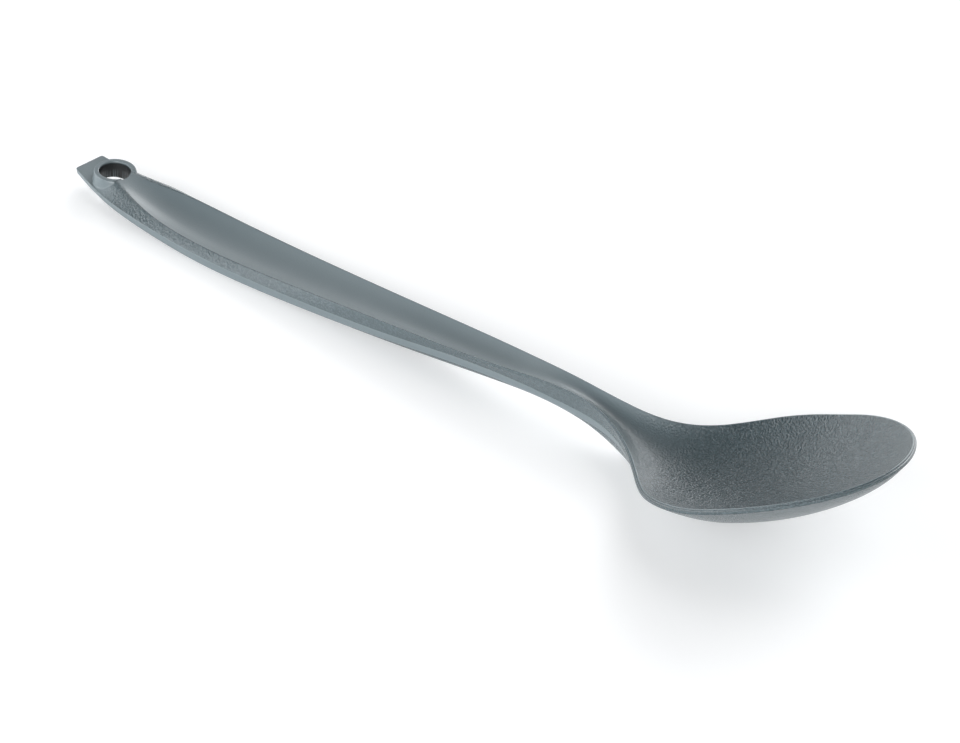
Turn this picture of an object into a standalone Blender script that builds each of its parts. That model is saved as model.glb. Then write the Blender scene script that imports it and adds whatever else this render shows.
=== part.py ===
"""Long-handled camping spoon: one plastic moulding, lofted along its length.

The spoon lies along X, tail at -X and tip of the bowl at +X, mirrored about Y = 0.  It stands on Z = 0,
which the belly of the handle and the bottom of the bowl touch.  The loft is cut square to X into the
regions of the moulding: hanging eye, handle, neck and bowl, which meet face to face.
All sizes are in metres.
"""

import math

import bmesh
import bpy
import numpy as np
from mathutils import Matrix

# Runs along the spoon, one after the other from the tail to the tip
TAIL_TO_EYE = 0.00985
EYE_TO_ROOT = 0.01055
ROOT_TO_SWELL = 0.012
SWELL_TO_GRIP = 0.013
GRIP_TO_PALM = 0.031
PALM_TO_MID = 0.032
MID_TO_FORE = 0.040
FORE_TO_CREST = 0.013
CREST_TO_NECK = 0.0085
NECK_TO_TURN = 0.0085
TURN_TO_HEEL = 0.019
HEEL_TO_SUMP = 0.0134
SUMP_TO_BOWL = 0.0157
BOWL_TO_TIP = 0.0319

# Widths between the crisp edges of the trough, which run on into the rim of the bowl
ROOT_TROUGH_WIDTH = 0.0101
SWELL_TROUGH_WIDTH = 0.0137
GRIP_TROUGH_WIDTH = 0.015
PALM_TROUGH_WIDTH = 0.01399
MID_TROUGH_WIDTH = 0.01189
FORE_TROUGH_WIDTH = 0.00838
NECK_TROUGH_WIDTH = 0.00563
BOWL_WIDTH = 0.05231
FLARE_NECK_PULL = 0.02985
FLARE_BOWL_PULL = 0.02901
TIP_FULLNESS = 2.0

# Heights of those edges and of the rim above the surface that the spoon lies on
EYE_TOP = 0.0069
SWELL_RIM = 0.00455
GRIP_RIM = 0.0041
PALM_RIM = 0.00529
MID_RIM = 0.00754
FORE_RIM = 0.01067
CREST_RIM = 0.01168
TURN_RIM = 0.01093
HEEL_RIM = 0.00839
SUMP_RIM = 0.01243
BOWL_RIM = 0.01845
TIP_RIM = 0.03037
BOWL_TILT = math.radians(24.4)

# Depth of the trough below its edges
OPEN_TROUGH_DEPTH = 0.00015
ROOT_TROUGH_DEPTH = 0.0011
GRIP_TROUGH_DEPTH = 0.0020
MID_TROUGH_DEPTH = 0.0019
FORE_TROUGH_DEPTH = 0.0016
NECK_TROUGH_DEPTH = 0.0012

# Outer edge of the handle: width, height of its upper corner and thickness
TAIL_WIDTH = 0.009
EYE_WIDTH = 0.013
ROOT_WIDTH = 0.0166
SWELL_WIDTH = 0.0179
GRIP_WIDTH = 0.0185
PALM_WIDTH = 0.0162
MID_WIDTH = 0.0118
FORE_WIDTH = 0.0063
NECK_WIDTH = 0.0048
TAIL_EDGE = 0.00555
EYE_EDGE = 0.00365
ROOT_EDGE = 0.00325
SWELL_EDGE = 0.00265
GRIP_EDGE = 0.00225
PALM_EDGE = 0.00255
MID_EDGE = 0.00415
FORE_EDGE = 0.00695
NECK_EDGE = 0.00685
TAIL_THICKNESS = 0.0012
GRIP_THICKNESS = 0.00225
MID_THICKNESS = 0.0016
NECK_THICKNESS = 0.0012
EDGE_DRAFT = 0.0002

# Flanks from the trough down to the outer edge: slightly hollow at the eye, slightly full along the grip
EYE_FLANK = 1.2
GRIP_FLANK = 0.8

# Heights of the underside along the middle
TAIL_BELLY = 0.00375
EYE_BELLY = 0.00195
GRIP_BELLY = 0.00002
MID_BELLY = 0.0009
FORE_BELLY = 0.0045
CREST_BELLY = 0.0053
HEEL_BELLY = 0.0
SUMP_BELLY = 0.00185

# Bowl: depth at its widest section, wall, and the lip that stands out round its rim
BOWL_DEPTH = 0.0106
BOWL_WALL = 0.0022
HEEL_WALL = 0.0034
LIP_WIDTH = 0.0008
LIP_HEIGHT = 0.0014
LIP_SHOULDER = 0.0004
LIP_STEP = 0.0003
BOWL_FULLNESS = 1.45
BOWL_FADE = 0.006

# Hanging eye: bore through a round boss on the tail tab, open towards the trough over twice the angle,
# and the ramp beside it that rises from the tab to the flanks
BORE_DIAMETER = 0.0081
BORE_CUTTER_LENGTH = 0.025
RING_DIAMETER = 0.0106
RING_DRAFT = 0.0007
RING_OPENING = math.radians(44)
EYE_TILT = math.radians(4.5)
EYE_RAMP = 0.0035
EYE_LENGTH = 0.0255

# Exponents of the sections: a parabola in the trough and bowl, nearly flat under the handle
BOWL_SECTION = 2.0
HANDLE_SECTION = 6.0

# Number of sections in each region, and of points along the parts of a section
TAB_STATIONS = 5
EYE_STATIONS = 9
HANDLE_STATIONS = 24
FORE_STATIONS = 7
FLARE_STATIONS = 26
NECK_FLARE_STATIONS = 8
TIP_STATIONS = 18
HALF_STEPS = 6
FLANK_STEPS = 4
SHOULDER_SHARE = 0.5
BORE_SIDES = 48
RING_STEPS = 36

WELD_DISTANCE = 1e-6
SHARP_ANGLE = math.radians(30)

NYLON_COLOUR = (0.155, 0.178, 0.186, 1.0)
NYLON_ROUGHNESS = 0.5

# Places along the spoon, measured from the tail
EYE_AT = TAIL_TO_EYE
OPEN_AT = EYE_AT + RING_DIAMETER / 2 * math.cos(RING_OPENING)
ROOT_AT = EYE_AT + EYE_TO_ROOT
SWELL_AT = ROOT_AT + ROOT_TO_SWELL
GRIP_AT = SWELL_AT + SWELL_TO_GRIP
PALM_AT = GRIP_AT + GRIP_TO_PALM
MID_AT = PALM_AT + PALM_TO_MID
FORE_AT = MID_AT + MID_TO_FORE
CREST_AT = FORE_AT + FORE_TO_CREST
NECK_AT = CREST_AT + CREST_TO_NECK
TURN_AT = NECK_AT + NECK_TO_TURN
HEEL_AT = TURN_AT + TURN_TO_HEEL
SUMP_AT = HEEL_AT + HEEL_TO_SUMP
BOWL_AT = SUMP_AT + SUMP_TO_BOWL
LENGTH = BOWL_AT + BOWL_TO_TIP

RIM_SLOPE = math.tan(BOWL_TILT)
TIP_RUN = BOWL_TO_TIP - LIP_WIDTH
RIM_BEND = (TIP_RIM - BOWL_RIM - RIM_SLOPE * TIP_RUN) / TIP_RUN ** 2


def spline(places, values, end_slope=None):
    """Natural cubic spline through the values, with a set slope at its far end if one is given."""
    x = np.array(places)
    y = np.array(values)
    run = np.diff(x)
    rise = np.diff(y) / run
    count = len(x)
    matrix = np.eye(count)
    right = np.zeros(count)
    for i in range(1, count - 1):
        matrix[i, i - 1:i + 2] = run[i - 1], 2 * (run[i - 1] + run[i]), run[i]
        right[i] = 6 * (rise[i] - rise[i - 1])
    if end_slope is not None:
        matrix[-1, -2:] = run[-1], 2 * run[-1]
        right[-1] = 6 * (end_slope - rise[-1])
    bend = np.linalg.solve(matrix, right)

    def height(place):
        i = int(np.clip(np.searchsorted(x, place) - 1, 0, count - 2))
        t = place - x[i]
        slope = rise[i] - run[i] * (2 * bend[i] + bend[i + 1]) / 6
        return y[i] + t * (slope + t * (bend[i] / 2 + t * (bend[i + 1] - bend[i]) / (6 * run[i])))

    return height


def fade(value, start, end):
    """0 before start, 1 after end, smooth between them."""
    t = min(max((value - start) / (end - start), 0.0), 1.0)
    return t * t * (3 - 2 * t)


def mix(a, b, share):
    return a + (b - a) * share


# Curves along the spoon, each through its named stations
OPEN_TROUGH_WIDTH = RING_DIAMETER * math.sin(RING_OPENING)
trough_half = spline(
    (OPEN_AT, ROOT_AT, SWELL_AT, GRIP_AT, PALM_AT, MID_AT, FORE_AT, NECK_AT),
    [width / 2 for width in (OPEN_TROUGH_WIDTH, ROOT_TROUGH_WIDTH, SWELL_TROUGH_WIDTH, GRIP_TROUGH_WIDTH,
                             PALM_TROUGH_WIDTH, MID_TROUGH_WIDTH, FORE_TROUGH_WIDTH, NECK_TROUGH_WIDTH)],
    end_slope=0.0,
)
edge_half = spline(
    (0.0, EYE_AT, ROOT_AT, SWELL_AT, GRIP_AT, PALM_AT, MID_AT, FORE_AT, NECK_AT),
    [width / 2 for width in (TAIL_WIDTH, EYE_WIDTH, ROOT_WIDTH, SWELL_WIDTH, GRIP_WIDTH,
                             PALM_WIDTH, MID_WIDTH, FORE_WIDTH, NECK_WIDTH)],
)
edge_height = spline(
    (0.0, EYE_AT, ROOT_AT, SWELL_AT, GRIP_AT, PALM_AT, MID_AT, FORE_AT, NECK_AT),
    (TAIL_EDGE, EYE_EDGE, ROOT_EDGE, SWELL_EDGE, GRIP_EDGE, PALM_EDGE, MID_EDGE, FORE_EDGE, NECK_EDGE),
)
edge_thickness = spline(
    (0.0, GRIP_AT, MID_AT, NECK_AT),
    (TAIL_THICKNESS, GRIP_THICKNESS, MID_THICKNESS, NECK_THICKNESS),
)
BOWL_BELLY = BOWL_RIM - BOWL_DEPTH - BOWL_WALL
back_rim = spline(
    (EYE_AT, SWELL_AT, GRIP_AT, PALM_AT, MID_AT, FORE_AT, CREST_AT, TURN_AT, HEEL_AT, SUMP_AT, BOWL_AT),
    (EYE_TOP, SWELL_RIM, GRIP_RIM, PALM_RIM, MID_RIM, FORE_RIM, CREST_RIM, TURN_RIM, HEEL_RIM,
     SUMP_RIM, BOWL_RIM),
    end_slope=RIM_SLOPE,
)
back_belly = spline(
    (0.0, EYE_AT, GRIP_AT, MID_AT, FORE_AT, CREST_AT, HEEL_AT, SUMP_AT, BOWL_AT),
    (TAIL_BELLY, EYE_BELLY, GRIP_BELLY, MID_BELLY, FORE_BELLY,
     CREST_BELLY, HEEL_BELLY, SUMP_BELLY, BOWL_BELLY),
    end_slope=RIM_SLOPE,
)
back_floor = spline(
    (OPEN_AT, ROOT_AT, GRIP_AT, MID_AT, FORE_AT, NECK_AT, HEEL_AT, SUMP_AT, BOWL_AT),
    (back_rim(OPEN_AT) - OPEN_TROUGH_DEPTH, back_rim(ROOT_AT) - ROOT_TROUGH_DEPTH,
     back_rim(GRIP_AT) - GRIP_TROUGH_DEPTH, back_rim(MID_AT) - MID_TROUGH_DEPTH,
     back_rim(FORE_AT) - FORE_TROUGH_DEPTH, back_rim(NECK_AT) - NECK_TROUGH_DEPTH,
     HEEL_BELLY + HEEL_WALL, SUMP_BELLY + BOWL_WALL, BOWL_BELLY + BOWL_WALL),
    end_slope=RIM_SLOPE,
)


def centre_heights(place, half):
    """Rim, trough floor and underside at one section."""
    if place <= BOWL_AT:
        return back_rim(place), back_floor(place), back_belly(place)
    run = place - BOWL_AT
    rim = BOWL_RIM + RIM_SLOPE * run + RIM_BEND * run ** 2
    share = (half / (BOWL_WIDTH / 2)) ** BOWL_FULLNESS
    floor = rim - BOWL_DEPTH * share
    belly = rim - LIP_HEIGHT - (BOWL_DEPTH + BOWL_WALL - LIP_HEIGHT) * share
    return rim, floor, belly


def flare_point(t):
    """Rim in plan from the neck to the widest place of the bowl, one cubic curve."""
    neck = NECK_TROUGH_WIDTH / 2
    bowl = BOWL_WIDTH / 2
    corners = (
        (NECK_AT, neck),
        (NECK_AT + FLARE_NECK_PULL, neck),
        (BOWL_AT - FLARE_BOWL_PULL, bowl),
        (BOWL_AT, bowl),
    )
    weights = ((1 - t) ** 3, 3 * (1 - t) ** 2 * t, 3 * (1 - t) * t ** 2, t ** 3)
    place = sum(weight * corner[0] for weight, corner in zip(weights, corners))
    half = sum(weight * corner[1] for weight, corner in zip(weights, corners))
    return place, half


def tip_point(angle):
    """Rim in plan round the front of the bowl, a superellipse from its widest place to the tip."""
    place = BOWL_AT + TIP_RUN * math.cos(angle)
    half = BOWL_WIDTH / 2 * math.sin(angle) ** (2 / TIP_FULLNESS)
    return place, half


def rim_outline():
    """Plan of the trough's edge and the rim, and where the regions of the moulding are cut."""
    points = [(place, trough_half(place)) for place in np.linspace(EYE_AT, EYE_LENGTH, EYE_STATIONS)]
    cuts = [len(points) - 1]
    points += [(place, trough_half(place)) for place in np.linspace(EYE_LENGTH, FORE_AT, HANDLE_STATIONS)[1:]]
    cuts.append(len(points) - 1)
    points += [(place, trough_half(place)) for place in np.linspace(FORE_AT, NECK_AT, FORE_STATIONS)[1:]]
    cuts.append(len(points) - 1 + NECK_FLARE_STATIONS)
    points += [flare_point(t) for t in np.linspace(0, 1, FLARE_STATIONS)[1:]]
    points += [tip_point(angle) for angle in np.linspace(math.pi / 2, 0, TIP_STATIONS)[1:-1]]
    points.append((LENGTH - LIP_WIDTH, 0.0))
    return points, cuts


def rim_normals(points, first_bowl):
    """Outward direction of the rim in plan: square to the spoon up to the bowl, then square to the rim."""
    outline = np.array(points)
    along = np.gradient(outline, axis=0)
    along[-1] = 0.0, -1.0
    normals = np.column_stack((-along[:, 1], along[:, 0]))
    normals /= np.linalg.norm(normals, axis=1)[:, None]
    start = points[first_bowl][0]
    for i, (place, _) in enumerate(points):
        share = fade(place, start, BOWL_AT)
        normals[i] = mix(np.array((0.0, 1.0)), normals[i], share)
        normals[i] /= np.linalg.norm(normals[i])
    return normals


def side_profile(place):
    """Side of a section from the rim down, as steps out and drops, and its share of bowl rim."""
    near = min(place, NECK_AT)
    out = edge_half(near) - trough_half(near)
    drop = back_rim(near) - edge_height(near)
    flank = mix(EYE_FLANK, GRIP_FLANK, fade(place, EYE_AT, GRIP_AT))
    share = fade(place, NECK_AT, HEEL_AT + BOWL_FADE)
    side = []
    for v in np.linspace(0, 1, FLANK_STEPS + 1)[1:]:
        lip_out = np.interp(v, (0, SHOULDER_SHARE, 1), (0, LIP_WIDTH, LIP_WIDTH))
        lip_drop = np.interp(v, (0, SHOULDER_SHARE, 1), (0, LIP_SHOULDER, LIP_HEIGHT - LIP_STEP))
        side.append((mix(out * v, lip_out, share), mix(drop * (1 - (1 - v) ** flank), lip_drop, share)))
    under_out = mix(out - EDGE_DRAFT, LIP_WIDTH - LIP_STEP, share)
    under_drop = mix(drop + edge_thickness(near), LIP_HEIGHT, share)
    side.append((under_out, under_drop))
    return side, share


def section(place, half, normal):
    """One half of a section, from the middle of the trough round to the middle of the underside."""
    rim, floor, belly = centre_heights(place, half)
    points = []
    for j in range(HALF_STEPS + 1):
        v = math.sin(math.pi / 2 * j / HALF_STEPS)
        points.append((place, half * v, mix(floor, rim, v ** BOWL_SECTION)))
    side, share = side_profile(place)
    points += [(place + normal[0] * out, half + normal[1] * out, rim - drop) for out, drop in side]
    edge_x, edge_y, edge_z = points[-1]
    low = min(belly, edge_z)
    exponent = mix(HANDLE_SECTION, BOWL_SECTION, share)
    for j in range(1, HALF_STEPS + 1):
        v = math.cos(math.pi / 2 * j / HALF_STEPS)
        points.append((mix(place, edge_x, v), edge_y * v, mix(low, edge_z, v ** exponent)))
    return points


def tab_section(place):
    """One half of the flat tail tab, with as many points as the other sections."""
    half = edge_half(place)
    top = edge_height(place)
    bottom = top - edge_thickness(place)
    low = min(back_belly(place), bottom)
    inner = half * trough_half(EYE_AT) / edge_half(EYE_AT)
    points = [(place, inner * math.sin(math.pi / 2 * j / HALF_STEPS), top) for j in range(HALF_STEPS + 1)]
    points += [(place, y, top) for y in np.linspace(inner, half, FLANK_STEPS + 1)[1:]]
    points.append((place, half - EDGE_DRAFT, bottom))
    for j in range(1, HALF_STEPS + 1):
        v = math.cos(math.pi / 2 * j / HALF_STEPS)
        points.append((place, (half - EDGE_DRAFT) * v, mix(low, bottom, v ** HANDLE_SECTION)))
    return points


def whole_loop(half_section):
    """Closes a half section with its mirror image."""
    mirrored = [(x, -y, z) for x, y, z in reversed(half_section[1:-1])]
    return half_section + mirrored


def loft(name, loops, material, closed_tip=False):
    """Solid through the loops, with flat ends, or with its last loop folded shut at the tip."""
    mesh = bmesh.new()
    rows = [[mesh.verts.new(point) for point in loop] for loop in loops]
    count = len(rows[0])
    for near, far in zip(rows, rows[1:]):
        for i in range(count):
            k = (i + 1) % count
            mesh.faces.new((near[i], near[k], far[k], far[i]))
    mesh.faces.new(rows[0])
    if not closed_tip:
        mesh.faces.new(rows[-1])
    bmesh.ops.remove_doubles(mesh, verts=mesh.verts, dist=WELD_DISTANCE)
    bmesh.ops.recalc_face_normals(mesh, faces=mesh.faces)
    return add_object(name, mesh, material)


def add_object(name, mesh, material):
    """Object from a mesh, shaded smooth but for its crisp edges."""
    data = bpy.data.meshes.new(name)
    mesh.to_mesh(data)
    mesh.free()
    data.materials.append(material)
    data.shade_smooth()
    data.set_sharp_from_angle(angle=SHARP_ANGLE)
    piece = bpy.data.objects.new(name, data)
    bpy.context.collection.objects.link(piece)
    return piece


def nylon(name):
    """Grey glass-filled nylon."""
    material = bpy.data.materials.new(name)
    material.use_nodes = True
    shader = material.node_tree.nodes["Principled BSDF"]
    shader.inputs["Base Color"].default_value = NYLON_COLOUR
    shader.inputs["Roughness"].default_value = NYLON_ROUGHNESS
    shader.inputs["Metallic"].default_value = 0.0
    material.diffuse_color = NYLON_COLOUR
    return material


def guide(name, mesh, place):
    """Shape that only cuts or joins, tilted and placed with the eye."""
    data = bpy.data.meshes.new(name)
    mesh.to_mesh(data)
    mesh.free()
    piece = bpy.data.objects.new(name, data)
    piece.matrix_world = place
    piece.hide_render = True
    piece.display_type = "WIRE"
    bpy.context.collection.objects.link(piece)
    return piece


def ring_boss():
    """Round boss of the eye, cut flat where the trough opens from the bore."""
    sunk = EYE_TOP - EYE_EDGE + TAIL_THICKNESS / 2
    angles = np.linspace(RING_OPENING, 2 * math.pi - RING_OPENING, RING_STEPS + 1)
    mesh = bmesh.new()
    rings = []
    for level, radius in ((0.0, RING_DIAMETER / 2), (-sunk, RING_DIAMETER / 2 + RING_DRAFT)):
        rings.append([mesh.verts.new((radius * math.cos(a), radius * math.sin(a), level)) for a in angles])
    top, base = rings
    mesh.faces.new(top)
    mesh.faces.new(base)
    for i in range(len(top)):
        k = (i + 1) % len(top)
        mesh.faces.new((top[i], top[k], base[k], base[i]))
    bmesh.ops.recalc_face_normals(mesh, faces=mesh.faces)
    return mesh


def bore_cutter():
    mesh = bmesh.new()
    bmesh.ops.create_cone(
        mesh, cap_ends=True, segments=BORE_SIDES,
        radius1=BORE_DIAMETER / 2, radius2=BORE_DIAMETER / 2, depth=BORE_CUTTER_LENGTH,
    )
    return mesh


def combine(piece, other, operation):
    modifier = piece.modifiers.new(other.name, "BOOLEAN")
    modifier.operation = operation
    modifier.solver = "EXACT"
    modifier.object = other


def build_spoon():
    points, cuts = rim_outline()
    normals = rim_normals(points, cuts[2])
    halves = [section(place, half, normal) for (place, half), normal in zip(points, normals)]
    tab = [tab_section(place) for place in np.linspace(0.0, EYE_AT - EYE_RAMP, TAB_STATIONS)]
    lowest = min(z for half in halves + tab for _, _, z in half)

    def placed(half_sections):
        return [
            whole_loop([(x - LENGTH / 2, y, z - lowest) for x, y, z in half]) for half in half_sections
        ]

    spoon = bpy.data.objects.new("camping_spoon", None)
    bpy.context.collection.objects.link(spoon)
    eye_end, handle_end, neck_end = cuts
    pieces = [
        loft("hanging_eye", placed(tab + halves[:eye_end + 1]), nylon("hanging_eye")),
        loft("handle", placed(halves[eye_end:handle_end + 1]), nylon("handle")),
        loft("neck", placed(halves[handle_end:neck_end + 1]), nylon("neck")),
        loft("bowl", placed(halves[neck_end:]), nylon("bowl"), closed_tip=True),
    ]
    eye_centre = Matrix.Translation((EYE_AT - LENGTH / 2, 0.0, EYE_TOP - lowest))
    eye_place = eye_centre @ Matrix.Rotation(EYE_TILT, 4, "Y")
    boss = guide("ring_boss", ring_boss(), eye_place)
    bore = guide("bore", bore_cutter(), eye_place)
    combine(pieces[0], boss, "UNION")
    combine(pieces[0], bore, "DIFFERENCE")
    for piece in pieces + [boss, bore]:
        piece.parent = spoon


for old in list(bpy.data.objects):
    bpy.data.objects.remove(old, do_unlink=True)
build_spoon()
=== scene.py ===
"""Looks of the long-handled camping spoon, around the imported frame.

The CAD regions are one moulding, so one unbroken skin stands for them.  It follows the sections of the part's
source, with finer steps, rounded edges and fillets round the hanging eye.  X runs from the tail to the tip of
the bowl, Z is up, the spoon is mirrored about Y = 0, and all sizes are in metres.
"""

import math

import bmesh
import bpy
import numpy as np
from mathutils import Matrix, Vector


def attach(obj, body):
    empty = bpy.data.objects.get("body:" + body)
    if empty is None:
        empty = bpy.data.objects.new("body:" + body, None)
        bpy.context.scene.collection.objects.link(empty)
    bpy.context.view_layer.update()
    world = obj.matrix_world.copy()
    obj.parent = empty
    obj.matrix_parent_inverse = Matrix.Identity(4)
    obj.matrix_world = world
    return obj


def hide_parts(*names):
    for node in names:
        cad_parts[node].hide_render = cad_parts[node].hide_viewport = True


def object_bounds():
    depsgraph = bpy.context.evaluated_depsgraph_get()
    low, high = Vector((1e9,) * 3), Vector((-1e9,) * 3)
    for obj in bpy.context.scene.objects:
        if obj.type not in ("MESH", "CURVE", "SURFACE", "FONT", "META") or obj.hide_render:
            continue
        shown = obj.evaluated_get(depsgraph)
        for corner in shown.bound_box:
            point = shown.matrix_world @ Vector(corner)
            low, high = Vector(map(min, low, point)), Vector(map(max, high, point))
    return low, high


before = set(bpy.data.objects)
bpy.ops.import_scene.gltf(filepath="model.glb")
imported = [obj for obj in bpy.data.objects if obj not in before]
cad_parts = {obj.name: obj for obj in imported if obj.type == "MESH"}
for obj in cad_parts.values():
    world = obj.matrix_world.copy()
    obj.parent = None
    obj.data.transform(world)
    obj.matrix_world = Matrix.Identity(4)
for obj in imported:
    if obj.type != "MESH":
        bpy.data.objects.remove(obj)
cad_low, cad_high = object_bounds()

# Runs along the spoon, one after the other from the tail to the tip
TAIL_TO_EYE = 0.00985
EYE_TO_ROOT = 0.01055
ROOT_TO_SWELL = 0.012
SWELL_TO_GRIP = 0.013
GRIP_TO_PALM = 0.031
PALM_TO_MID = 0.032
MID_TO_FORE = 0.040
FORE_TO_CREST = 0.013
CREST_TO_NECK = 0.0085
NECK_TO_TURN = 0.0085
TURN_TO_HEEL = 0.019
HEEL_TO_SUMP = 0.0134
SUMP_TO_BOWL = 0.0157
BOWL_TO_TIP = 0.0319

# Widths between the edges of the trough, which run on into the rim of the bowl
ROOT_TROUGH_WIDTH = 0.0101
SWELL_TROUGH_WIDTH = 0.0137
GRIP_TROUGH_WIDTH = 0.015
PALM_TROUGH_WIDTH = 0.01399
MID_TROUGH_WIDTH = 0.01189
FORE_TROUGH_WIDTH = 0.00838
NECK_TROUGH_WIDTH = 0.00563
BOWL_WIDTH = 0.05231
FLARE_NECK_PULL = 0.02985
FLARE_BOWL_PULL = 0.02901

# Heights of those edges and of the rim
EYE_TOP = 0.0069
SWELL_RIM = 0.00455
GRIP_RIM = 0.0041
PALM_RIM = 0.00529
MID_RIM = 0.00754
FORE_RIM = 0.01067
CREST_RIM = 0.01168
TURN_RIM = 0.01093
HEEL_RIM = 0.00839
SUMP_RIM = 0.01243
BOWL_RIM = 0.01845
TIP_RIM = 0.03037
BOWL_TILT = math.radians(24.4)

# Depth of the trough below its edges
OPEN_TROUGH_DEPTH = 0.00015
ROOT_TROUGH_DEPTH = 0.0011
GRIP_TROUGH_DEPTH = 0.0020
MID_TROUGH_DEPTH = 0.0019
FORE_TROUGH_DEPTH = 0.0016
NECK_TROUGH_DEPTH = 0.0012

# Outer edge of the handle: width, height of its upper corner and thickness
TAIL_WIDTH = 0.009
EYE_WIDTH = 0.013
ROOT_WIDTH = 0.0166
SWELL_WIDTH = 0.0179
GRIP_WIDTH = 0.0185
PALM_WIDTH = 0.0162
MID_WIDTH = 0.0118
FORE_WIDTH = 0.0063
NECK_WIDTH = 0.0048
TAIL_EDGE = 0.00555
EYE_EDGE = 0.00365
ROOT_EDGE = 0.00325
SWELL_EDGE = 0.00265
GRIP_EDGE = 0.00225
PALM_EDGE = 0.00255
MID_EDGE = 0.00415
FORE_EDGE = 0.00695
NECK_EDGE = 0.00685
TAIL_THICKNESS = 0.0012
GRIP_THICKNESS = 0.00225
MID_THICKNESS = 0.0016
NECK_THICKNESS = 0.0012
EDGE_DRAFT = 0.0002

# Flanks from the trough down to the outer edge: slightly hollow at the eye, slightly full along the grip
EYE_FLANK = 1.2
GRIP_FLANK = 0.8

# Heights of the underside along the middle
TAIL_BELLY = 0.00375
EYE_BELLY = 0.00195
GRIP_BELLY = 0.00002
MID_BELLY = 0.0009
FORE_BELLY = 0.0045
CREST_BELLY = 0.0053
HEEL_BELLY = 0.0
SUMP_BELLY = 0.00185

# Bowl: depth at its widest section, wall, and the lip that stands out round its rim
BOWL_DEPTH = 0.0106
BOWL_WALL = 0.0022
HEEL_WALL = 0.0034
LIP_WIDTH = 0.0008
LIP_HEIGHT = 0.0014
LIP_SHOULDER = 0.0004
LIP_STEP = 0.0003
BOWL_FULLNESS = 1.45
BOWL_FADE = 0.006

# Stepped rim round the bowl and along the neck: land, step down and shelf, as steps out and drops
BOWL_LAND = (0.00028, 0.00006)
BOWL_FOOT = (0.00036, 0.00030)
NECK_LEDGES = (0.0, 0.00010, 0.00010, 0.00026, 0.0)
NECK_SHARES = (0.0, 0.03, 0.07, 0.09, 1.0)
HANDLE_SHARES = (0.0, 0.80, 0.88, 0.94, 1.0)

# Hanging eye: bore through a round boss on the tail tab, open towards the trough over twice the angle
BORE_DIAMETER = 0.0081
RING_DIAMETER = 0.0106
RING_DRAFT = 0.0007
RING_OPENING = math.radians(44)
EYE_TILT = math.radians(4.5)
EYE_RAMP = 0.0035

# Exponents of the sections: a parabola in the trough and bowl, nearly flat under the handle
BOWL_SECTION = 2.0
HANDLE_SECTION = 6.0

# How far each corner of a section is rounded, along the handle and round the bowl
EYE_RIM_ROUND = 0.00140
HANDLE_RIM_ROUND = 0.00030
BOWL_RIM_ROUND = 0.00035
HANDLE_EDGE_ROUND = 0.00110
HANDLE_UNDER_ROUND = 0.00040
BOWL_SHOULDER_ROUND = 0.00018
STEP_ROUND = 0.00006
BOWL_EDGE_ROUND = 0.00014
MOST_ROUND = 0.45
LEAST_NORMAL = 0.25

# Finish of the eye: rounded edges, fillets and tail corners
BORE_ROUND = 0.00020
BORE_DRAFT = 0.00025
RING_ROUND = 0.00022
RING_FILLET = 0.00025
RING_SETBACK = 0.0005
TAIL_CORNER = 0.0007
EYE_PATCH_LENGTH = 0.0175
RING_FOOT = 0.0060

# Steps of the skin: sections along the spoon and points along the stretches of a half section
HANDLE_STATIONS = 170
FLARE_STATIONS = 110
TIP_STATIONS = 64
FINE_STEPS = 60
TROUGH_POINTS = 18
ROUND_POINTS = 4
LAND_POINTS = 5
FLANK_POINTS = 8
WALL_POINTS = 4
TAIL_POINTS = 16
CORNER_POINTS = 8
BORE_EDGE_POINTS = 5
RING_POINTS = 6
BOSS_POINTS = 16
SIDE_POINTS = 50
EYE_SECTIONS = 80
WELD_DISTANCE = 1e-6
SLOPE_STEP = 1e-4
LEAST_SHARE = 1e-9

# Shine of the faces: 0 is the grain of the bowl and 1 is smooth; above 1 is the smooth bore, painted near
# black as shade
FLANK_POLISH = 0.30
LIP_POLISH = 0.12
# Rim edge and shelf: smooth and lighter in colour, the lighter colour partly a painted highlight
RIM_POLISH_AND_HIGHLIGHT = 1.0
SHELF_POLISH_AND_HIGHLIGHT = 0.6
# Mark of the bore's wall, which the material paints near black as shade
BORE_POLISH_AND_PAINTED_SHADE = 2.0

# Places along the spoon, measured from the tail
EYE_AT = TAIL_TO_EYE
OPEN_AT = EYE_AT + RING_DIAMETER / 2 * math.cos(RING_OPENING)
ROOT_AT = EYE_AT + EYE_TO_ROOT
SWELL_AT = ROOT_AT + ROOT_TO_SWELL
GRIP_AT = SWELL_AT + SWELL_TO_GRIP
PALM_AT = GRIP_AT + GRIP_TO_PALM
MID_AT = PALM_AT + PALM_TO_MID
FORE_AT = MID_AT + MID_TO_FORE
CREST_AT = FORE_AT + FORE_TO_CREST
NECK_AT = CREST_AT + CREST_TO_NECK
TURN_AT = NECK_AT + NECK_TO_TURN
HEEL_AT = TURN_AT + TURN_TO_HEEL
SUMP_AT = HEEL_AT + HEEL_TO_SUMP
BOWL_AT = SUMP_AT + SUMP_TO_BOWL

RIM_SLOPE = math.tan(BOWL_TILT)
BOWL_HALF = BOWL_WIDTH / 2
TIP_RUN = BOWL_TO_TIP - LIP_WIDTH
RIM_BEND = (TIP_RIM - BOWL_RIM - RIM_SLOPE * TIP_RUN) / TIP_RUN ** 2
RING_RADIUS = RING_DIAMETER / 2
BORE_RADIUS = BORE_DIAMETER / 2


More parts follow.
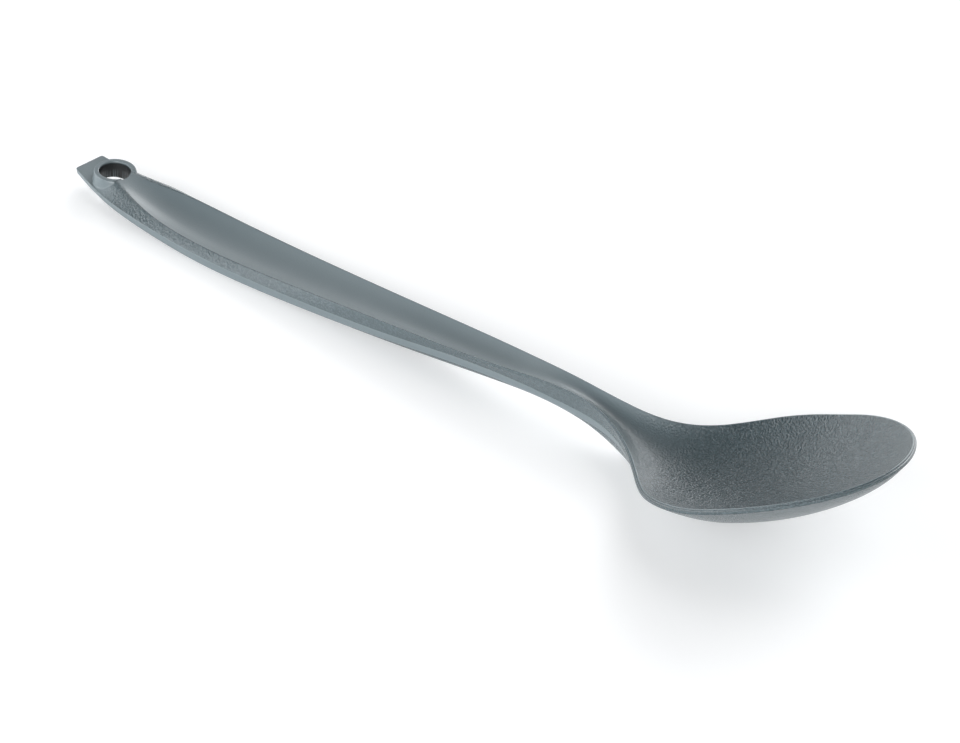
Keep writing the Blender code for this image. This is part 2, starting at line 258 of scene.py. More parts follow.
def spline(places, values, end_slope=None):
    """Natural cubic spline through the values, with a set slope at its far end if one is given."""
    x = np.array(places)
    y = np.array(values)
    run = np.diff(x)
    rise = np.diff(y) / run
    count = len(x)
    matrix = np.eye(count)
    right = np.zeros(count)
    for i in range(1, count - 1):
        matrix[i, i - 1:i + 2] = run[i - 1], 2 * (run[i - 1] + run[i]), run[i]
        right[i] = 6 * (rise[i] - rise[i - 1])
    if end_slope is not None:
        matrix[-1, -2:] = run[-1], 2 * run[-1]
        right[-1] = 6 * (end_slope - rise[-1])
    bend = np.linalg.solve(matrix, right)

    def height(place):
        i = np.clip(np.searchsorted(x, place) - 1, 0, count - 2)
        t = place - x[i]
        slope = rise[i] - run[i] * (2 * bend[i] + bend[i + 1]) / 6
        return y[i] + t * (slope + t * (bend[i] / 2 + t * (bend[i + 1] - bend[i]) / (6 * run[i])))

    return height


def fade(value, start, end):
    """0 before start, 1 after end, smooth between them."""
    t = np.clip((value - start) / (end - start), 0.0, 1.0)
    return t * t * (3 - 2 * t)


def mix(a, b, share):
    return a + (b - a) * share


def blend_up(a, b, reach):
    """The higher of two heights, with a fillet where they cross."""
    return np.maximum(a, b) + np.maximum(reach - np.abs(a - b), 0.0) ** 2 / (4 * reach)


def blend_down(a, b, reach):
    """The lower of two heights, with a rounded edge where they cross."""
    return -blend_up(-a, -b, reach)


# Curves along the spoon, each through its named stations
OPEN_TROUGH_WIDTH = RING_DIAMETER * math.sin(RING_OPENING)
trough_half = spline(
    (OPEN_AT, ROOT_AT, SWELL_AT, GRIP_AT, PALM_AT, MID_AT, FORE_AT, NECK_AT),
    [width / 2 for width in (OPEN_TROUGH_WIDTH, ROOT_TROUGH_WIDTH, SWELL_TROUGH_WIDTH, GRIP_TROUGH_WIDTH,
                             PALM_TROUGH_WIDTH, MID_TROUGH_WIDTH, FORE_TROUGH_WIDTH, NECK_TROUGH_WIDTH)],
    end_slope=0.0,
)
edge_half = spline(
    (0.0, EYE_AT, ROOT_AT, SWELL_AT, GRIP_AT, PALM_AT, MID_AT, FORE_AT, NECK_AT),
    [width / 2 for width in (TAIL_WIDTH, EYE_WIDTH, ROOT_WIDTH, SWELL_WIDTH, GRIP_WIDTH,
                             PALM_WIDTH, MID_WIDTH, FORE_WIDTH, NECK_WIDTH)],
)
edge_height = spline(
    (0.0, EYE_AT, ROOT_AT, SWELL_AT, GRIP_AT, PALM_AT, MID_AT, FORE_AT, NECK_AT),
    (TAIL_EDGE, EYE_EDGE, ROOT_EDGE, SWELL_EDGE, GRIP_EDGE, PALM_EDGE, MID_EDGE, FORE_EDGE, NECK_EDGE),
)
edge_thickness = spline(
    (0.0, GRIP_AT, MID_AT, NECK_AT),
    (TAIL_THICKNESS, GRIP_THICKNESS, MID_THICKNESS, NECK_THICKNESS),
)
BOWL_BELLY = BOWL_RIM - BOWL_DEPTH - BOWL_WALL
back_rim = spline(
    (EYE_AT, SWELL_AT, GRIP_AT, PALM_AT, MID_AT, FORE_AT, CREST_AT, TURN_AT, HEEL_AT, SUMP_AT, BOWL_AT),
    (EYE_TOP, SWELL_RIM, GRIP_RIM, PALM_RIM, MID_RIM, FORE_RIM, CREST_RIM, TURN_RIM, HEEL_RIM,
     SUMP_RIM, BOWL_RIM),
    end_slope=RIM_SLOPE,
)
back_belly = spline(
    (0.0, EYE_AT, GRIP_AT, MID_AT, FORE_AT, CREST_AT, HEEL_AT, SUMP_AT, BOWL_AT),
    (TAIL_BELLY, EYE_BELLY, GRIP_BELLY, MID_BELLY, FORE_BELLY,
     CREST_BELLY, HEEL_BELLY, SUMP_BELLY, BOWL_BELLY),
    end_slope=RIM_SLOPE,
)
back_floor = spline(
    (OPEN_AT, ROOT_AT, GRIP_AT, MID_AT, FORE_AT, NECK_AT, HEEL_AT, SUMP_AT, BOWL_AT),
    (back_rim(OPEN_AT) - OPEN_TROUGH_DEPTH, back_rim(ROOT_AT) - ROOT_TROUGH_DEPTH,
     back_rim(GRIP_AT) - GRIP_TROUGH_DEPTH, back_rim(MID_AT) - MID_TROUGH_DEPTH,
     back_rim(FORE_AT) - FORE_TROUGH_DEPTH, back_rim(NECK_AT) - NECK_TROUGH_DEPTH,
     HEEL_BELLY + HEEL_WALL, SUMP_BELLY + BOWL_WALL, BOWL_BELLY + BOWL_WALL),
    end_slope=RIM_SLOPE,
)


def flare_point(t):
    """Rim in plan from the neck to the widest place of the bowl, one cubic curve."""
    neck = NECK_TROUGH_WIDTH / 2
    corners = (
        (NECK_AT, neck),
        (NECK_AT + FLARE_NECK_PULL, neck),
        (BOWL_AT - FLARE_BOWL_PULL, BOWL_HALF),
        (BOWL_AT, BOWL_HALF),
    )
    weights = ((1 - t) ** 3, 3 * (1 - t) ** 2 * t, 3 * (1 - t) * t ** 2, t ** 3)
    return sum(weight * np.array(corner) for weight, corner in zip(weights, corners))


def front_rim(place):
    """Height of the rim in front of the widest place of the bowl."""
    run = place - BOWL_AT
    return BOWL_RIM + RIM_SLOPE * run + RIM_BEND * run ** 2


def bowl_front(place, half, reach, width, drop, depth):
    """Height inside or outside the front of the bowl, in plan half an ellipse of this reach and width."""
    along = np.clip((place - BOWL_AT) / reach, 0.0, 1.0)
    inside = np.maximum(1 - along ** 2 - (half / width) ** 2, 0.0)
    narrow = np.maximum(1 - along ** 2, LEAST_SHARE) ** (BOWL_FULLNESS / 2 - 1)
    return front_rim(place) - drop - depth * inside * narrow


def side_lines(place, rim_at, normal, rim):
    """Land, step, shelf, flank and edge of a half section, and its shares of bowl and of stepped rim."""
    near = min(place, NECK_AT)
    out = edge_half(near) - trough_half(near)
    drop = back_rim(near) - edge_height(near)
    flank = mix(EYE_FLANK, GRIP_FLANK, fade(place, EYE_AT, GRIP_AT))
    share = fade(place, NECK_AT, HEEL_AT + BOWL_FADE)
    stepped = fade(place, MID_AT, NECK_AT)

    def line(steps):
        outs, drops = steps.T
        return np.column_stack((rim_at[0] + normal[0] * outs, rim_at[1] + normal[1] * outs, rim - drops))

    shares = mix(np.array(HANDLE_SHARES), np.array(NECK_SHARES), stepped)
    ledges = stepped * np.array(NECK_LEDGES)
    lip = np.array((
        (0.0, 0.0),
        BOWL_LAND,
        BOWL_FOOT,
        (LIP_WIDTH, LIP_SHOULDER),
        (LIP_WIDTH, LIP_HEIGHT - LIP_STEP),
    ))
    v = np.linspace(0, 1, FINE_STEPS)
    lines = []
    for i in range(len(shares) - 1):
        down = mix(shares[i], shares[i + 1], v)
        outs = out * down + mix(ledges[i], ledges[i + 1], v)
        drops = drop * (1 - (1 - down) ** flank)
        lines.append(line(mix(np.column_stack((outs, drops)), mix(lip[i], lip[i + 1], v[:, None]), share)))
    under = mix(
        np.array(((out - EDGE_DRAFT, drop + edge_thickness(near)),)),
        np.array(((LIP_WIDTH - LIP_STEP, LIP_HEIGHT),)),
        share,
    )
    lines.append(np.vstack((lines[-1][-1:], line(under))))
    return lines, share, stepped


def cut_line(line, start, end, count):
    """The line with a length cut off at its start and end, through evenly spaced points."""
    steps = np.linalg.norm(np.diff(line, axis=0), axis=1)
    run = np.concatenate(([0.0], np.cumsum(steps)))
    wanted = np.linspace(start, max(run[-1] - end, start), count)
    return np.column_stack([np.interp(wanted, run, line[:, axis]) for axis in range(3)])


def line_length(line):
    return np.linalg.norm(np.diff(line, axis=0), axis=1).sum()


def rounded(lines, rounds, counts):
    """One line through the given ones, which meet at corners, with each corner rounded by a short curve."""
    lengths = [line_length(line) for line in lines]
    cuts = [0.0]
    for (before, after), reach in zip(zip(lengths, lengths[1:]), rounds):
        cuts.append(min(reach, MOST_ROUND * before, MOST_ROUND * after))
    cuts.append(0.0)
    kept = [cut_line(line, cuts[i], cuts[i + 1], counts[i]) for i, line in enumerate(lines)]
    points = [kept[0]]
    for i, line in enumerate(kept[1:]):
        corner = lines[i][-1]
        t = np.linspace(0, 1, ROUND_POINTS + 2)[1:-1, None]
        points.append((1 - t) ** 2 * kept[i][-1] + 2 * t * (1 - t) * corner + t ** 2 * line[0])
        points.append(line)
    return np.vstack(points)


TOP_POINTS = TROUGH_POINTS + 3 * LAND_POINTS + FLANK_POINTS + 4 * ROUND_POINTS
POINT_COUNTS = (TROUGH_POINTS, LAND_POINTS, LAND_POINTS, LAND_POINTS, FLANK_POINTS, WALL_POINTS, TOP_POINTS)


def half_section(place, half, normal, front=None):
    """One half of a section, from the middle of the trough round to the middle of the underside.

    Up to the widest place of the bowl it is square to X.  In front of that it fans out from a middle place,
    front, so that it meets the rim squarely.
    """
    v = np.linspace(0, 1, FINE_STEPS)
    if front is None:
        rim = back_rim(place)
        floor = back_floor(place)
        trough = np.column_stack((np.full_like(v, place), half * v, mix(floor, rim, v ** BOWL_SECTION)))
    else:
        rim = front_rim(place)
        x = mix(front, place, v)
        trough = np.column_stack((x, half * v, bowl_front(x, half * v, TIP_RUN, BOWL_HALF, 0.0, BOWL_DEPTH)))
    side, share, stepped = side_lines(place, (place, half), normal, rim)
    edge_x, edge_y, edge_z = side[-1][-1]
    v = v[::-1]
    if front is None:
        low = min(back_belly(place), edge_z)
        x = mix(place, edge_x, v)
        z = mix(low, edge_z, v ** mix(HANDLE_SECTION, BOWL_SECTION, share))
    else:
        x = mix(front, edge_x, v)
        reach = LIP_WIDTH - LIP_STEP
        depth = BOWL_DEPTH + BOWL_WALL - LIP_HEIGHT
        z = bowl_front(x, edge_y * v, TIP_RUN + reach, BOWL_HALF + reach, LIP_HEIGHT, depth)
    under = np.column_stack((x, edge_y * v, z))
    slant = max(normal[1], LEAST_NORMAL) if front is None else 1.0
    trough_round = mix(EYE_RIM_ROUND, HANDLE_RIM_ROUND, fade(place, OPEN_AT, SWELL_AT))
    rounds = (
        mix(trough_round, BOWL_RIM_ROUND, share) / slant,
        STEP_ROUND * stepped,
        STEP_ROUND * stepped,
        mix(STEP_ROUND * stepped, BOWL_SHOULDER_ROUND, share),
        mix(HANDLE_EDGE_ROUND, BOWL_EDGE_ROUND, share),
        mix(HANDLE_UNDER_ROUND, BOWL_EDGE_ROUND, share),
    )
    return rounded([trough] + side + [under], rounds, POINT_COUNTS)


def handle_section(place):
    return half_section(place, trough_half(place), (0.0, 1.0))


def flare_section(t):
    place, half = flare_point(t)
    along = flare_point(min(t + SLOPE_STEP, 1.0)) - flare_point(max(t - SLOPE_STEP, 0.0))
    across = np.array((-along[1], along[0])) / np.linalg.norm(along)
    normal = mix(np.array((0.0, 1.0)), across, fade(place, NECK_AT, HEEL_AT))
    return half_section(place, half, normal / np.linalg.norm(normal))


def tip_section(angle):
    """Half section that meets the elliptical front of the rim squarely."""
    place = BOWL_AT + TIP_RUN * math.cos(angle)
    half = BOWL_HALF * math.sin(angle)
    normal = np.array((math.cos(angle) / TIP_RUN, math.sin(angle) / BOWL_HALF))
    front = BOWL_AT + (TIP_RUN - BOWL_HALF ** 2 / TIP_RUN) * math.cos(angle)
    return half_section(place, half, normal / np.linalg.norm(normal), front)


def whole_loop(half_points):
    """Closes a half section with its mirror image."""
    return np.vstack((half_points, half_points[-2:0:-1] * (1, -1, 1)))


class Skin:
    """Grids of points that are joined into one mesh."""

    def __init__(self):
        self.mesh = bmesh.new()
        self.polish_and_painted_light = self.mesh.verts.layers.float.new("polish_and_painted_light")

    def grid(self, rows, polish_and_painted_light, closed):
        """Faces between rows of points, with closed rows if the last point meets the first."""
        made = []
        for row, shine_and_painted_light in zip(rows, polish_and_painted_light):
            verts = []
            for point, value in zip(row, shine_and_painted_light):
                vert = self.mesh.verts.new(point)
                vert[self.polish_and_painted_light] = value
                verts.append(vert)
            made.append(verts)
        count = len(made[0])
        for near, far in zip(made, made[1:]):
            for i in range(count if closed else count - 1):
                k = (i + 1) % count
                self.mesh.faces.new((near[i], near[k], far[k], far[i]))

    def both_sides(self, rows, polish_and_painted_light):
        """An open grid and its mirror image."""
        for side in (1, -1):
            self.grid(rows[::side] * (1, side, 1), polish_and_painted_light[::side], closed=False)


def section_polish_and_highlight(place):
    """Shine along a half section.

    The trough is smooth up to the neck and grained in the bowl.  The outer edge of the handle and the land of
    the bowl's rim are smooth, the flanks and the shelf partly grained, and the rest of the lip almost fully.
    The lighter colour of the smooth outer edge, of the rim's land and of the shelf is partly a painted
    highlight.
    """
    bowl = fade(place, TURN_AT, HEEL_AT)
    shine_and_painted_light = np.full(2 * TOP_POINTS + WALL_POINTS + 2 * ROUND_POINTS, FLANK_POLISH)
    shine_and_painted_light[:TROUGH_POINTS] = 1 - fade(place, NECK_AT, SUMP_AT)
    shine_and_painted_light[TROUGH_POINTS:TOP_POINTS] = mix(FLANK_POLISH, LIP_POLISH, bowl)
    ledge = ROUND_POINTS + LAND_POINTS
    land = TROUGH_POINTS + ledge
    shelf = land + ledge + ROUND_POINTS
    # Rim edge and shelf: lighter smooth colour, partly a painted highlight
    shine_and_painted_light[TROUGH_POINTS:land] = mix(FLANK_POLISH, RIM_POLISH_AND_HIGHLIGHT, bowl)
    shine_and_painted_light[shelf:shelf + LAND_POINTS] = mix(FLANK_POLISH, SHELF_POLISH_AND_HIGHLIGHT, bowl)
    # Outer edge of the handle: smooth, its lighter colour partly a painted highlight
    shine_and_painted_light[TOP_POINTS:-TOP_POINTS] = mix(1.0, LIP_POLISH, bowl)
    return shine_and_painted_light


def eye_polish(points):
    """Shine of the tail: smooth round the eye and in the trough, with the grain starting along the flanks."""
    place = points[..., 0]
    half = np.abs(points[..., 1])
    in_trough = 1 - fade(half - trough_half(np.maximum(place, OPEN_AT)), -EYE_RIM_ROUND, 0.0)
    return np.maximum(in_trough, mix(1.0, FLANK_POLISH, fade(place, EYE_AT, EYE_PATCH_LENGTH)))


def body_rows():
    """Half sections from the eye to the tip."""
    rows = [handle_section(place) for place in np.linspace(EYE_PATCH_LENGTH, NECK_AT, HANDLE_STATIONS)]
    rows += [flare_section(t) for t in np.linspace(0, 1, FLARE_STATIONS)[1:]]
    rows += [tip_section(angle) for angle in np.linspace(math.pi / 2, 0, TIP_STATIONS)[1:]]
    return rows


class Eye:
    """Top and underside of the tail, as heights over the plan."""

    def __init__(self):
        self.places = np.linspace(EYE_AT, EYE_PATCH_LENGTH, EYE_SECTIONS)
        self.sections = [handle_section(place) for place in self.places]

    def ridge(self, place, half):
        """Height of the trough and its flanks."""
        position = (np.clip(place, EYE_AT, EYE_PATCH_LENGTH) - EYE_AT) / (self.places[1] - EYE_AT)
        first = min(int(position), EYE_SECTIONS - 2)
        ends = []
        for section in self.sections[first:first + 2]:
            top = section[:TOP_POINTS]
            ends.append(np.interp(half, top[:, 1], top[:, 2]))
        return mix(ends[0], ends[1], position - first)

    def top(self, place, half):
        """Height of the tab, the ridge and the ring boss together."""
        tab = edge_height(place)
        risen = fade(place, EYE_AT - EYE_RAMP, EYE_AT)
        ridge = mix(tab, max(self.ridge(place, half), tab), risen)
        along = place - EYE_AT
        radius = math.hypot(along, half)
        face = EYE_TOP - along * math.tan(EYE_TILT)
        slope = (EYE_TOP - EYE_EDGE + TAIL_THICKNESS / 2) / RING_DRAFT
        wall = EYE_TOP - (radius - RING_RADIUS) * slope
        end = face - max(along - RING_RADIUS * math.cos(RING_OPENING), 0.0) * slope
        boss = blend_down(min(face, end), wall, RING_ROUND * slope / 2)
        within = fade(RING_RADIUS - radius, 0.0, RING_SETBACK) * fade(OPEN_AT - place, 0.0, RING_SETBACK)
        height = blend_up(ridge - RING_SETBACK * within, boss, RING_FILLET)
        rounding = max(BORE_RADIUS + BORE_ROUND - radius, 0.0)
        return height - BORE_ROUND + math.sqrt(max(BORE_ROUND ** 2 - rounding ** 2, 0.0))

    def under(self, place, half):
        """Height of the underside."""
        edge = edge_height(place) - edge_thickness(place)
        low = min(back_belly(place), edge)
        share = min(half / (edge_half(place) - EDGE_DRAFT), 1.0)
        height = mix(low, edge, share ** HANDLE_SECTION)
        radius = math.hypot(place - under_eye(), half)
        rounding = max(BORE_RADIUS - BORE_DRAFT + BORE_ROUND - radius, 0.0)
        return height + BORE_ROUND - math.sqrt(max(BORE_ROUND ** 2 - rounding ** 2, 0.0))


def under_eye():
    """Middle of the bore where it leaves the underside."""
    return EYE_AT - (EYE_TOP - EYE_BELLY) * math.tan(EYE_TILT)


def tail_outline():
    """Outer edge of the tail from the end of the patch to the tail's middle: places and outward normals."""
    outline = []
    for place in np.linspace(EYE_PATCH_LENGTH, TAIL_CORNER, SIDE_POINTS):
        outline.append(((place, edge_half(place)), (0.0, 1.0)))
    middle = edge_half(TAIL_CORNER) - TAIL_CORNER
    for turn in np.linspace(0, math.pi / 2, CORNER_POINTS)[1:]:
        normal = (-math.sin(turn), math.cos(turn))
        outline.append(((TAIL_CORNER + TAIL_CORNER * normal[0], middle + TAIL_CORNER * normal[1]), normal))
    for half in np.linspace(middle, 0.0, TAIL_POINTS)[1:]:
        outline.append(((0.0, half), (-1.0, 0.0)))
    return outline


def edge_strip(place):
    """Rounded outer edge of a half section: steps out from the edge's corner, and heights."""
    section = handle_section(max(place, EYE_AT))
    strip = section[TOP_POINTS - 1:len(section) - TOP_POINTS + 1]
    return strip[:, 1] - edge_half(max(place, EYE_AT)), strip[:, 2] - strip[0, 2]


def eye_patch(skin):
    """Tail of the skin: fans of points round the bore, over the top and underside, and the edge between."""
    eye = Eye()
    first = handle_section(EYE_PATCH_LENGTH)
    top_end = first[:TOP_POINTS]
    under_end = first[len(first) - TOP_POINTS:][::-1]
    strips = []
    for (place, half), normal in tail_outline():
        outs, drops = edge_strip(place)
        strip = np.column_stack((place + normal[0] * outs, half + normal[1] * outs, drops))
        strip[:, 2] += eye.top(strip[0, 0], strip[0, 1])
        strips.append(strip)
    strips[0] = first[TOP_POINTS - 1:len(first) - TOP_POINTS + 1]
    strips = np.array(strips)
    top_line = np.vstack((top_end[:-1], strips[:, 0]))
    under_line = np.vstack((under_end[:-1], strips[:, -1]))
    angles = np.arctan2(top_line[:, 1], top_line[:, 0] - EYE_AT)
    bore_edge = np.linspace(0, BORE_ROUND, BORE_EDGE_POINTS)
    ring_radii = np.concatenate((
        BORE_RADIUS + bore_edge,
        np.linspace(BORE_RADIUS + BORE_ROUND, RING_RADIUS - RING_ROUND, RING_POINTS)[1:],
        np.linspace(RING_RADIUS - RING_ROUND, RING_FOOT, BOSS_POINTS)[1:],
    ))
    under_radii = BORE_RADIUS - BORE_DRAFT + bore_edge
    outward = np.linspace(0, 1, TAIL_POINTS)[1:-1]

    def fan(middle, radii, line, height):
        rows = []
        for radius in radii:
            x = middle + radius * np.cos(angles)
            y = radius * np.sin(angles)
            rows.append(np.column_stack((x, y, [height(*spot) for spot in zip(x, np.abs(y))])))
        foot = rows[-1]
        for share in outward:
            row = mix(foot, line, share)
            row[:, 2] = [height(*spot) for spot in zip(row[:, 0], np.abs(row[:, 1]))]
            rows.append(row)
        rows.append(line)
        return np.array(rows)

    top = fan(EYE_AT, ring_radii, top_line, eye.top)
    under = fan(under_eye(), under_radii, under_line, eye.under)
    wall = np.array([mix(top[0], under[0], share ** 2) for share in np.linspace(0, 1, WALL_POINTS)])
    for rows in (top, under[::-1]):
        skin.both_sides(rows, eye_polish(rows))
    edge = strips.transpose(1, 0, 2)[::-1]
    # Outer edge of the tail: smooth, its lighter colour partly a painted highlight
    skin.both_sides(edge, np.ones(edge.shape[:2]))
    # Painted shade: the bore's wall below its top edge gets the mark that paints it near black
    bore_shine_and_painted_shade = eye_polish(wall)
    bore_shine_and_painted_shade[1:] = BORE_POLISH_AND_PAINTED_SHADE
    skin.both_sides(wall[::-1], bore_shine_and_painted_shade[::-1])


def spoon_skin():
    """The whole moulding as one mesh, set down in the frame."""
    skin = Skin()
    rows = body_rows()
    loops = [whole_loop(row) for row in rows]
    shines_and_painted_light = []
    for row in rows:
        shine_and_painted_light = section_polish_and_highlight(row[0, 0])
        shines_and_painted_light.append(np.concatenate((shine_and_painted_light, shine_and_painted_light[-2:0:-1])))
    skin.grid(loops, shines_and_painted_light, closed=True)
    eye_patch(skin)
    mesh = skin.mesh
    bmesh.ops.remove_doubles(mesh, verts=mesh.verts, dist=WELD_DISTANCE)
    bmesh.ops.recalc_face_normals(mesh, faces=mesh.faces)
    lowest = min(vert.co.z for vert in mesh.verts)
    bmesh.ops.translate(mesh, verts=mesh.verts, vec=(cad_low.x, 0.0, cad_low.z - lowest))
    data = bpy.data.meshes.new("spoon_skin")
    mesh.to_mesh(data)
    mesh.free()
    data.shade_smooth()
    piece = bpy.data.objects.new("spoon_skin", data)
    bpy.context.collection.objects.link(piece)
    return piece


# Nylon: colours, refraction, roughness and grain of its smooth and its spark-eroded faces
NYLON = (0.143, 0.176, 0.189, 1.0)
NYLON_DARK = (0.129, 0.161, 0.173, 1.0)
GRAIN_PIT = (0.026, 0.044, 0.051, 1.0)
GRAIN_PEAK = (0.074, 0.105, 0.117, 1.0)
# Painted shade: near black colour of the bore's wall, standing for the shade inside the hole
BORE_PAINTED_SHADE = (0.004, 0.006, 0.007, 1.0)
NYLON_IOR = 1.58
SMOOTH_ROUGHNESS = 0.34
GRAIN_ROUGHNESS = 0.24
GRAIN_SIZE = 0.00050
GRAIN_HEIGHT = 0.00040
GRAIN_DETAIL = 2.0
PIT_LEVEL = 0.42
PEAK_LEVEL = 0.74
SMOOTH_BUMP = 0.12
CLOUD_SIZE = 0.012


def nylon():
    """Grey glass-filled nylon, finely grained where the mould was spark-eroded; the smooth bore's wall is
    painted near black as shade.
    """
    material = bpy.data.materials.new("grey_nylon")
    material.use_nodes = True
    nodes = material.node_tree.nodes
    links = material.node_tree.links
    shader = nodes["Principled BSDF"]
    shader.inputs["IOR"].default_value = NYLON_IOR
    place = nodes.new("ShaderNodeTexCoord")
    polish_and_painted_light = nodes.new("ShaderNodeAttribute")
    polish_and_painted_light.attribute_name = "polish_and_painted_light"

    cloud = nodes.new("ShaderNodeTexNoise")
    cloud.inputs["Scale"].default_value = 1 / CLOUD_SIZE
    links.new(place.outputs["Object"], cloud.inputs["Vector"])
    colour = nodes.new("ShaderNodeMix")
    colour.data_type = "RGBA"
    colour.inputs["A"].default_value = NYLON_DARK
    colour.inputs["B"].default_value = NYLON
    links.new(cloud.outputs["Fac"], colour.inputs["Factor"])

    roughness = nodes.new("ShaderNodeMix")
    roughness.inputs["A"].default_value = GRAIN_ROUGHNESS
    roughness.inputs["B"].default_value = SMOOTH_ROUGHNESS
    links.new(polish_and_painted_light.outputs["Fac"], roughness.inputs["Factor"])
    links.new(roughness.outputs["Result"], shader.inputs["Roughness"])

    grain = nodes.new("ShaderNodeTexNoise")
    grain.inputs["Scale"].default_value = 1 / GRAIN_SIZE
    grain.inputs["Detail"].default_value = GRAIN_DETAIL
    links.new(place.outputs["Object"], grain.inputs["Vector"])
    peaks = nodes.new("ShaderNodeMapRange")
    peaks.inputs["From Min"].default_value = PIT_LEVEL
    peaks.inputs["From Max"].default_value = PEAK_LEVEL
    links.new(grain.outputs["Fac"], peaks.inputs["Value"])
    speckle = nodes.new("ShaderNodeMix")
    speckle.data_type = "RGBA"
    speckle.inputs["A"].default_value = GRAIN_PIT
    speckle.inputs["B"].default_value = GRAIN_PEAK
    links.new(peaks.outputs["Result"], speckle.inputs["Factor"])
    surface = nodes.new("ShaderNodeMix")
    surface.data_type = "RGBA"
    links.new(polish_and_painted_light.outputs["Fac"], surface.inputs["Factor"])
    links.new(speckle.outputs["Result"], surface.inputs["A"])
    links.new(colour.outputs["Result"], surface.inputs["B"])
    # Painted shade: faces marked above 1, the bore's wall, go over to the near black colour
    bore_painted_shade_mask = nodes.new("ShaderNodeMapRange")
    bore_painted_shade_mask.inputs["From Min"].default_value = 1.0
    bore_painted_shade_mask.inputs["From Max"].default_value = BORE_POLISH_AND_PAINTED_SHADE
    links.new(polish_and_painted_light.outputs["Fac"], bore_painted_shade_mask.inputs["Value"])
    colour_with_painted_shade = nodes.new("ShaderNodeMix")
    colour_with_painted_shade.data_type = "RGBA"
    colour_with_painted_shade.inputs["B"].default_value = BORE_PAINTED_SHADE
    links.new(bore_painted_shade_mask.outputs["Result"], colour_with_painted_shade.inputs["Factor"])
    links.new(surface.outputs["Result"], colour_with_painted_shade.inputs["A"])
    links.new(colour_with_painted_shade.outputs["Result"], shader.inputs["Base Color"])
    strength = nodes.new("ShaderNodeMapRange")
    strength.inputs["To Min"].default_value = 1.0
    strength.inputs["To Max"].default_value = SMOOTH_BUMP
    links.new(polish_and_painted_light.outputs["Fac"], strength.inputs["Value"])
    bump = nodes.new("ShaderNodeBump")
    bump.inputs["Distance"].default_value = GRAIN_HEIGHT
    links.new(strength.outputs["Result"], bump.inputs["Strength"])
    links.new(grain.outputs["Fac"], bump.inputs["Height"])
    links.new(bump.outputs["Normal"], shader.inputs["Normal"])
    return material


# Camera, as fitted to the rims and edges in the photograph
IMAGE_WIDTH = 960
CAMERA_AIM = (0.0, 0.0, 0.0018)
CAMERA_AZIMUTH = math.radians(43.73)
CAMERA_ELEVATION = math.radians(32.20)
CAMERA_DISTANCE = 1.034
CAMERA_REACH = 50.0
SENSOR_WIDTH = 36.0
FOCAL_PIXELS = 4388.4
SHIFT_X_PIXELS = 21.26
SHIFT_Y_PIXELS = -8.75


def set_camera():
    data = bpy.data.cameras.new("camera")
    data.sensor_width = SENSOR_WIDTH
    data.lens = FOCAL_PIXELS / IMAGE_WIDTH * SENSOR_WIDTH
    data.shift_x = SHIFT_X_PIXELS / IMAGE_WIDTH
    data.shift_y = SHIFT_Y_PIXELS / IMAGE_WIDTH
    data.clip_end = CAMERA_REACH
    camera = bpy.data.objects.new("camera", data)
    back = Vector((
        math.sin(CAMERA_AZIMUTH) * math.cos(CAMERA_ELEVATION),
        -math.cos(CAMERA_AZIMUTH) * math.cos(CAMERA_ELEVATION),
        math.sin(CAMERA_ELEVATION),
    ))
    camera.location = Vector(CAMERA_AIM) + back * CAMERA_DISTANCE
    camera.rotation_mode = "QUATERNION"
    camera.rotation_quaternion = (-back).to_track_quat("-Z", "Y")
    bpy.context.collection.objects.link(camera)
    bpy.context.scene.camera = camera


# Studio: pale floor, a little whiter to the camera and in reflections, and soft glows round the spoon
FLOOR_SIZE = 12.0
FLOOR_COLOUR = (0.85, 0.85, 0.85, 1.0)
FLOOR_SEEN_GLOW = 0.22
FLOOR_MIRRORED_GLOW = 0.25
WORLD_COLOUR = (0.97, 0.985, 1.0, 1.0)
WORLD_SEEN = 1.0
WORLD_LIGHT = 0.02

# Each glow: azimuth from +Y towards +X, elevation, where it starts to fade and where it ends, and strength
GLOWS = (
    (5.0, 12.0, 5.0, 40.0, 2.4),
    (150.0, 6.0, 5.0, 40.0, 7.4),
    (270.0, 8.0, 5.0, 40.0, 2.8),
    (318.0, 8.0, 5.0, 40.0, 0.7),
    (341.0, 19.0, 3.0, 22.0, 3.4),
    (0.0, 30.0, 3.0, 22.0, 2.8),
    (335.0, 48.0, 3.0, 22.0, 0.9),
    (220.0, 16.0, 4.0, 26.0, 5.7),
    (35.0, 62.0, 4.0, 26.0, 1.7),
)


def direction_to(azimuth, elevation):
    a = math.radians(azimuth)
    e = math.radians(elevation)
    return Vector((math.sin(a) * math.cos(e), math.cos(a) * math.cos(e), math.sin(e)))


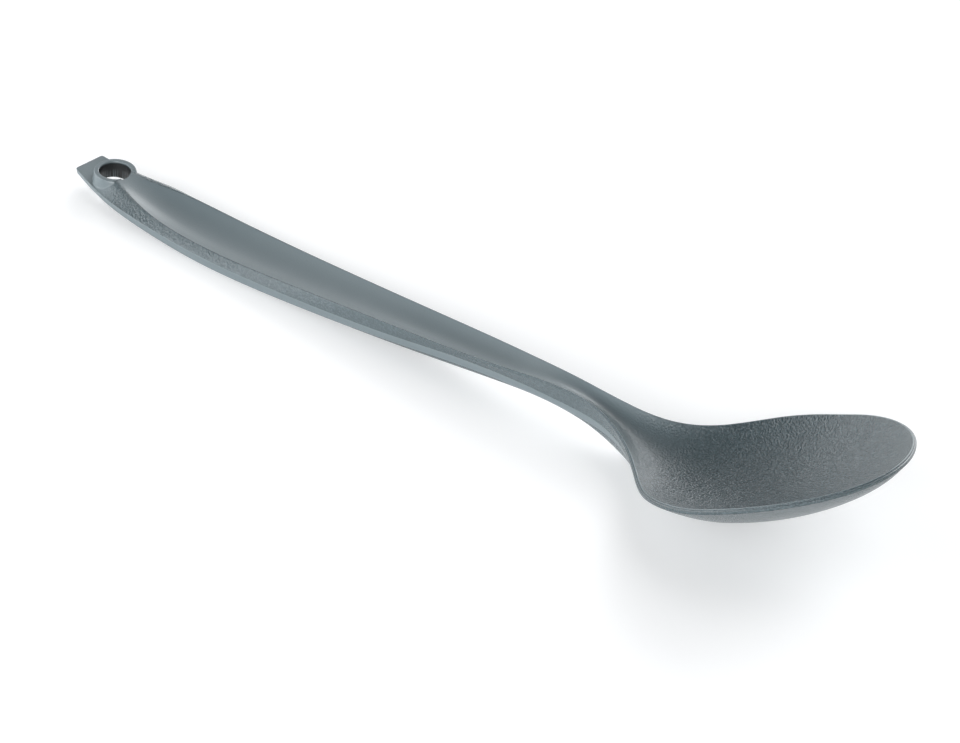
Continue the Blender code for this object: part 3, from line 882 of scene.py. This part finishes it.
def set_floor():
    mesh = bmesh.new()
    bmesh.ops.create_grid(mesh, x_segments=1, y_segments=1, size=FLOOR_SIZE / 2)
    data = bpy.data.meshes.new("floor")
    mesh.to_mesh(data)
    mesh.free()
    floor = bpy.data.objects.new("floor", data)
    floor.location.z = cad_low.z
    bpy.context.collection.objects.link(floor)
    material = bpy.data.materials.new("floor")
    material.use_nodes = True
    nodes = material.node_tree.nodes
    links = material.node_tree.links
    nodes.remove(nodes["Principled BSDF"])
    pale = nodes.new("ShaderNodeBsdfDiffuse")
    pale.inputs["Color"].default_value = FLOOR_COLOUR
    glow = nodes.new("ShaderNodeEmission")
    path = nodes.new("ShaderNodeLightPath")
    seen = nodes.new("ShaderNodeMath")
    seen.operation = "MULTIPLY"
    seen.inputs[1].default_value = FLOOR_SEEN_GLOW
    links.new(path.outputs["Is Camera Ray"], seen.inputs[0])
    shown = nodes.new("ShaderNodeMath")
    shown.operation = "MULTIPLY_ADD"
    shown.inputs[1].default_value = FLOOR_MIRRORED_GLOW
    links.new(path.outputs["Is Glossy Ray"], shown.inputs[0])
    links.new(seen.outputs["Value"], shown.inputs[2])
    links.new(shown.outputs["Value"], glow.inputs["Strength"])
    both = nodes.new("ShaderNodeAddShader")
    links.new(pale.outputs["BSDF"], both.inputs[0])
    links.new(glow.outputs["Emission"], both.inputs[1])
    links.new(both.outputs["Shader"], nodes["Material Output"].inputs["Surface"])
    data.materials.append(material)


def set_world():
    world = bpy.data.worlds.new("studio")
    bpy.context.scene.world = world
    world.use_nodes = True
    nodes = world.node_tree.nodes
    links = world.node_tree.links
    background = nodes["Background"]
    background.inputs["Color"].default_value = WORLD_COLOUR
    direction = nodes.new("ShaderNodeTexCoord")
    light = nodes.new("ShaderNodeValue").outputs["Value"]
    light.default_value = WORLD_LIGHT
    for azimuth, elevation, full, end, glow_strength in GLOWS:
        towards = nodes.new("ShaderNodeVectorMath")
        towards.operation = "DOT_PRODUCT"
        towards.inputs[1].default_value = direction_to(azimuth, elevation)
        links.new(direction.outputs["Generated"], towards.inputs[0])
        glow = nodes.new("ShaderNodeMapRange")
        glow.interpolation_type = "SMOOTHSTEP"
        glow.inputs["From Min"].default_value = math.cos(math.radians(end))
        glow.inputs["From Max"].default_value = math.cos(math.radians(full))
        glow.inputs["To Max"].default_value = glow_strength
        links.new(towards.outputs["Value"], glow.inputs["Value"])
        total = nodes.new("ShaderNodeMath")
        links.new(light, total.inputs[0])
        links.new(glow.outputs["Result"], total.inputs[1])
        light = total.outputs["Value"]
    path = nodes.new("ShaderNodeLightPath")
    strength = nodes.new("ShaderNodeMix")
    strength.inputs["B"].default_value = WORLD_SEEN
    links.new(path.outputs["Is Camera Ray"], strength.inputs["Factor"])
    links.new(light, strength.inputs["A"])
    links.new(strength.outputs["Result"], background.inputs["Strength"])


skin = spoon_skin()
skin.data.materials.append(nylon())
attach(skin, "root")
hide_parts("bowl", "neck", "handle", "hanging_eye")
set_camera()
set_floor()
set_world()
bpy.context.scene.view_settings.view_transform = "Standard"
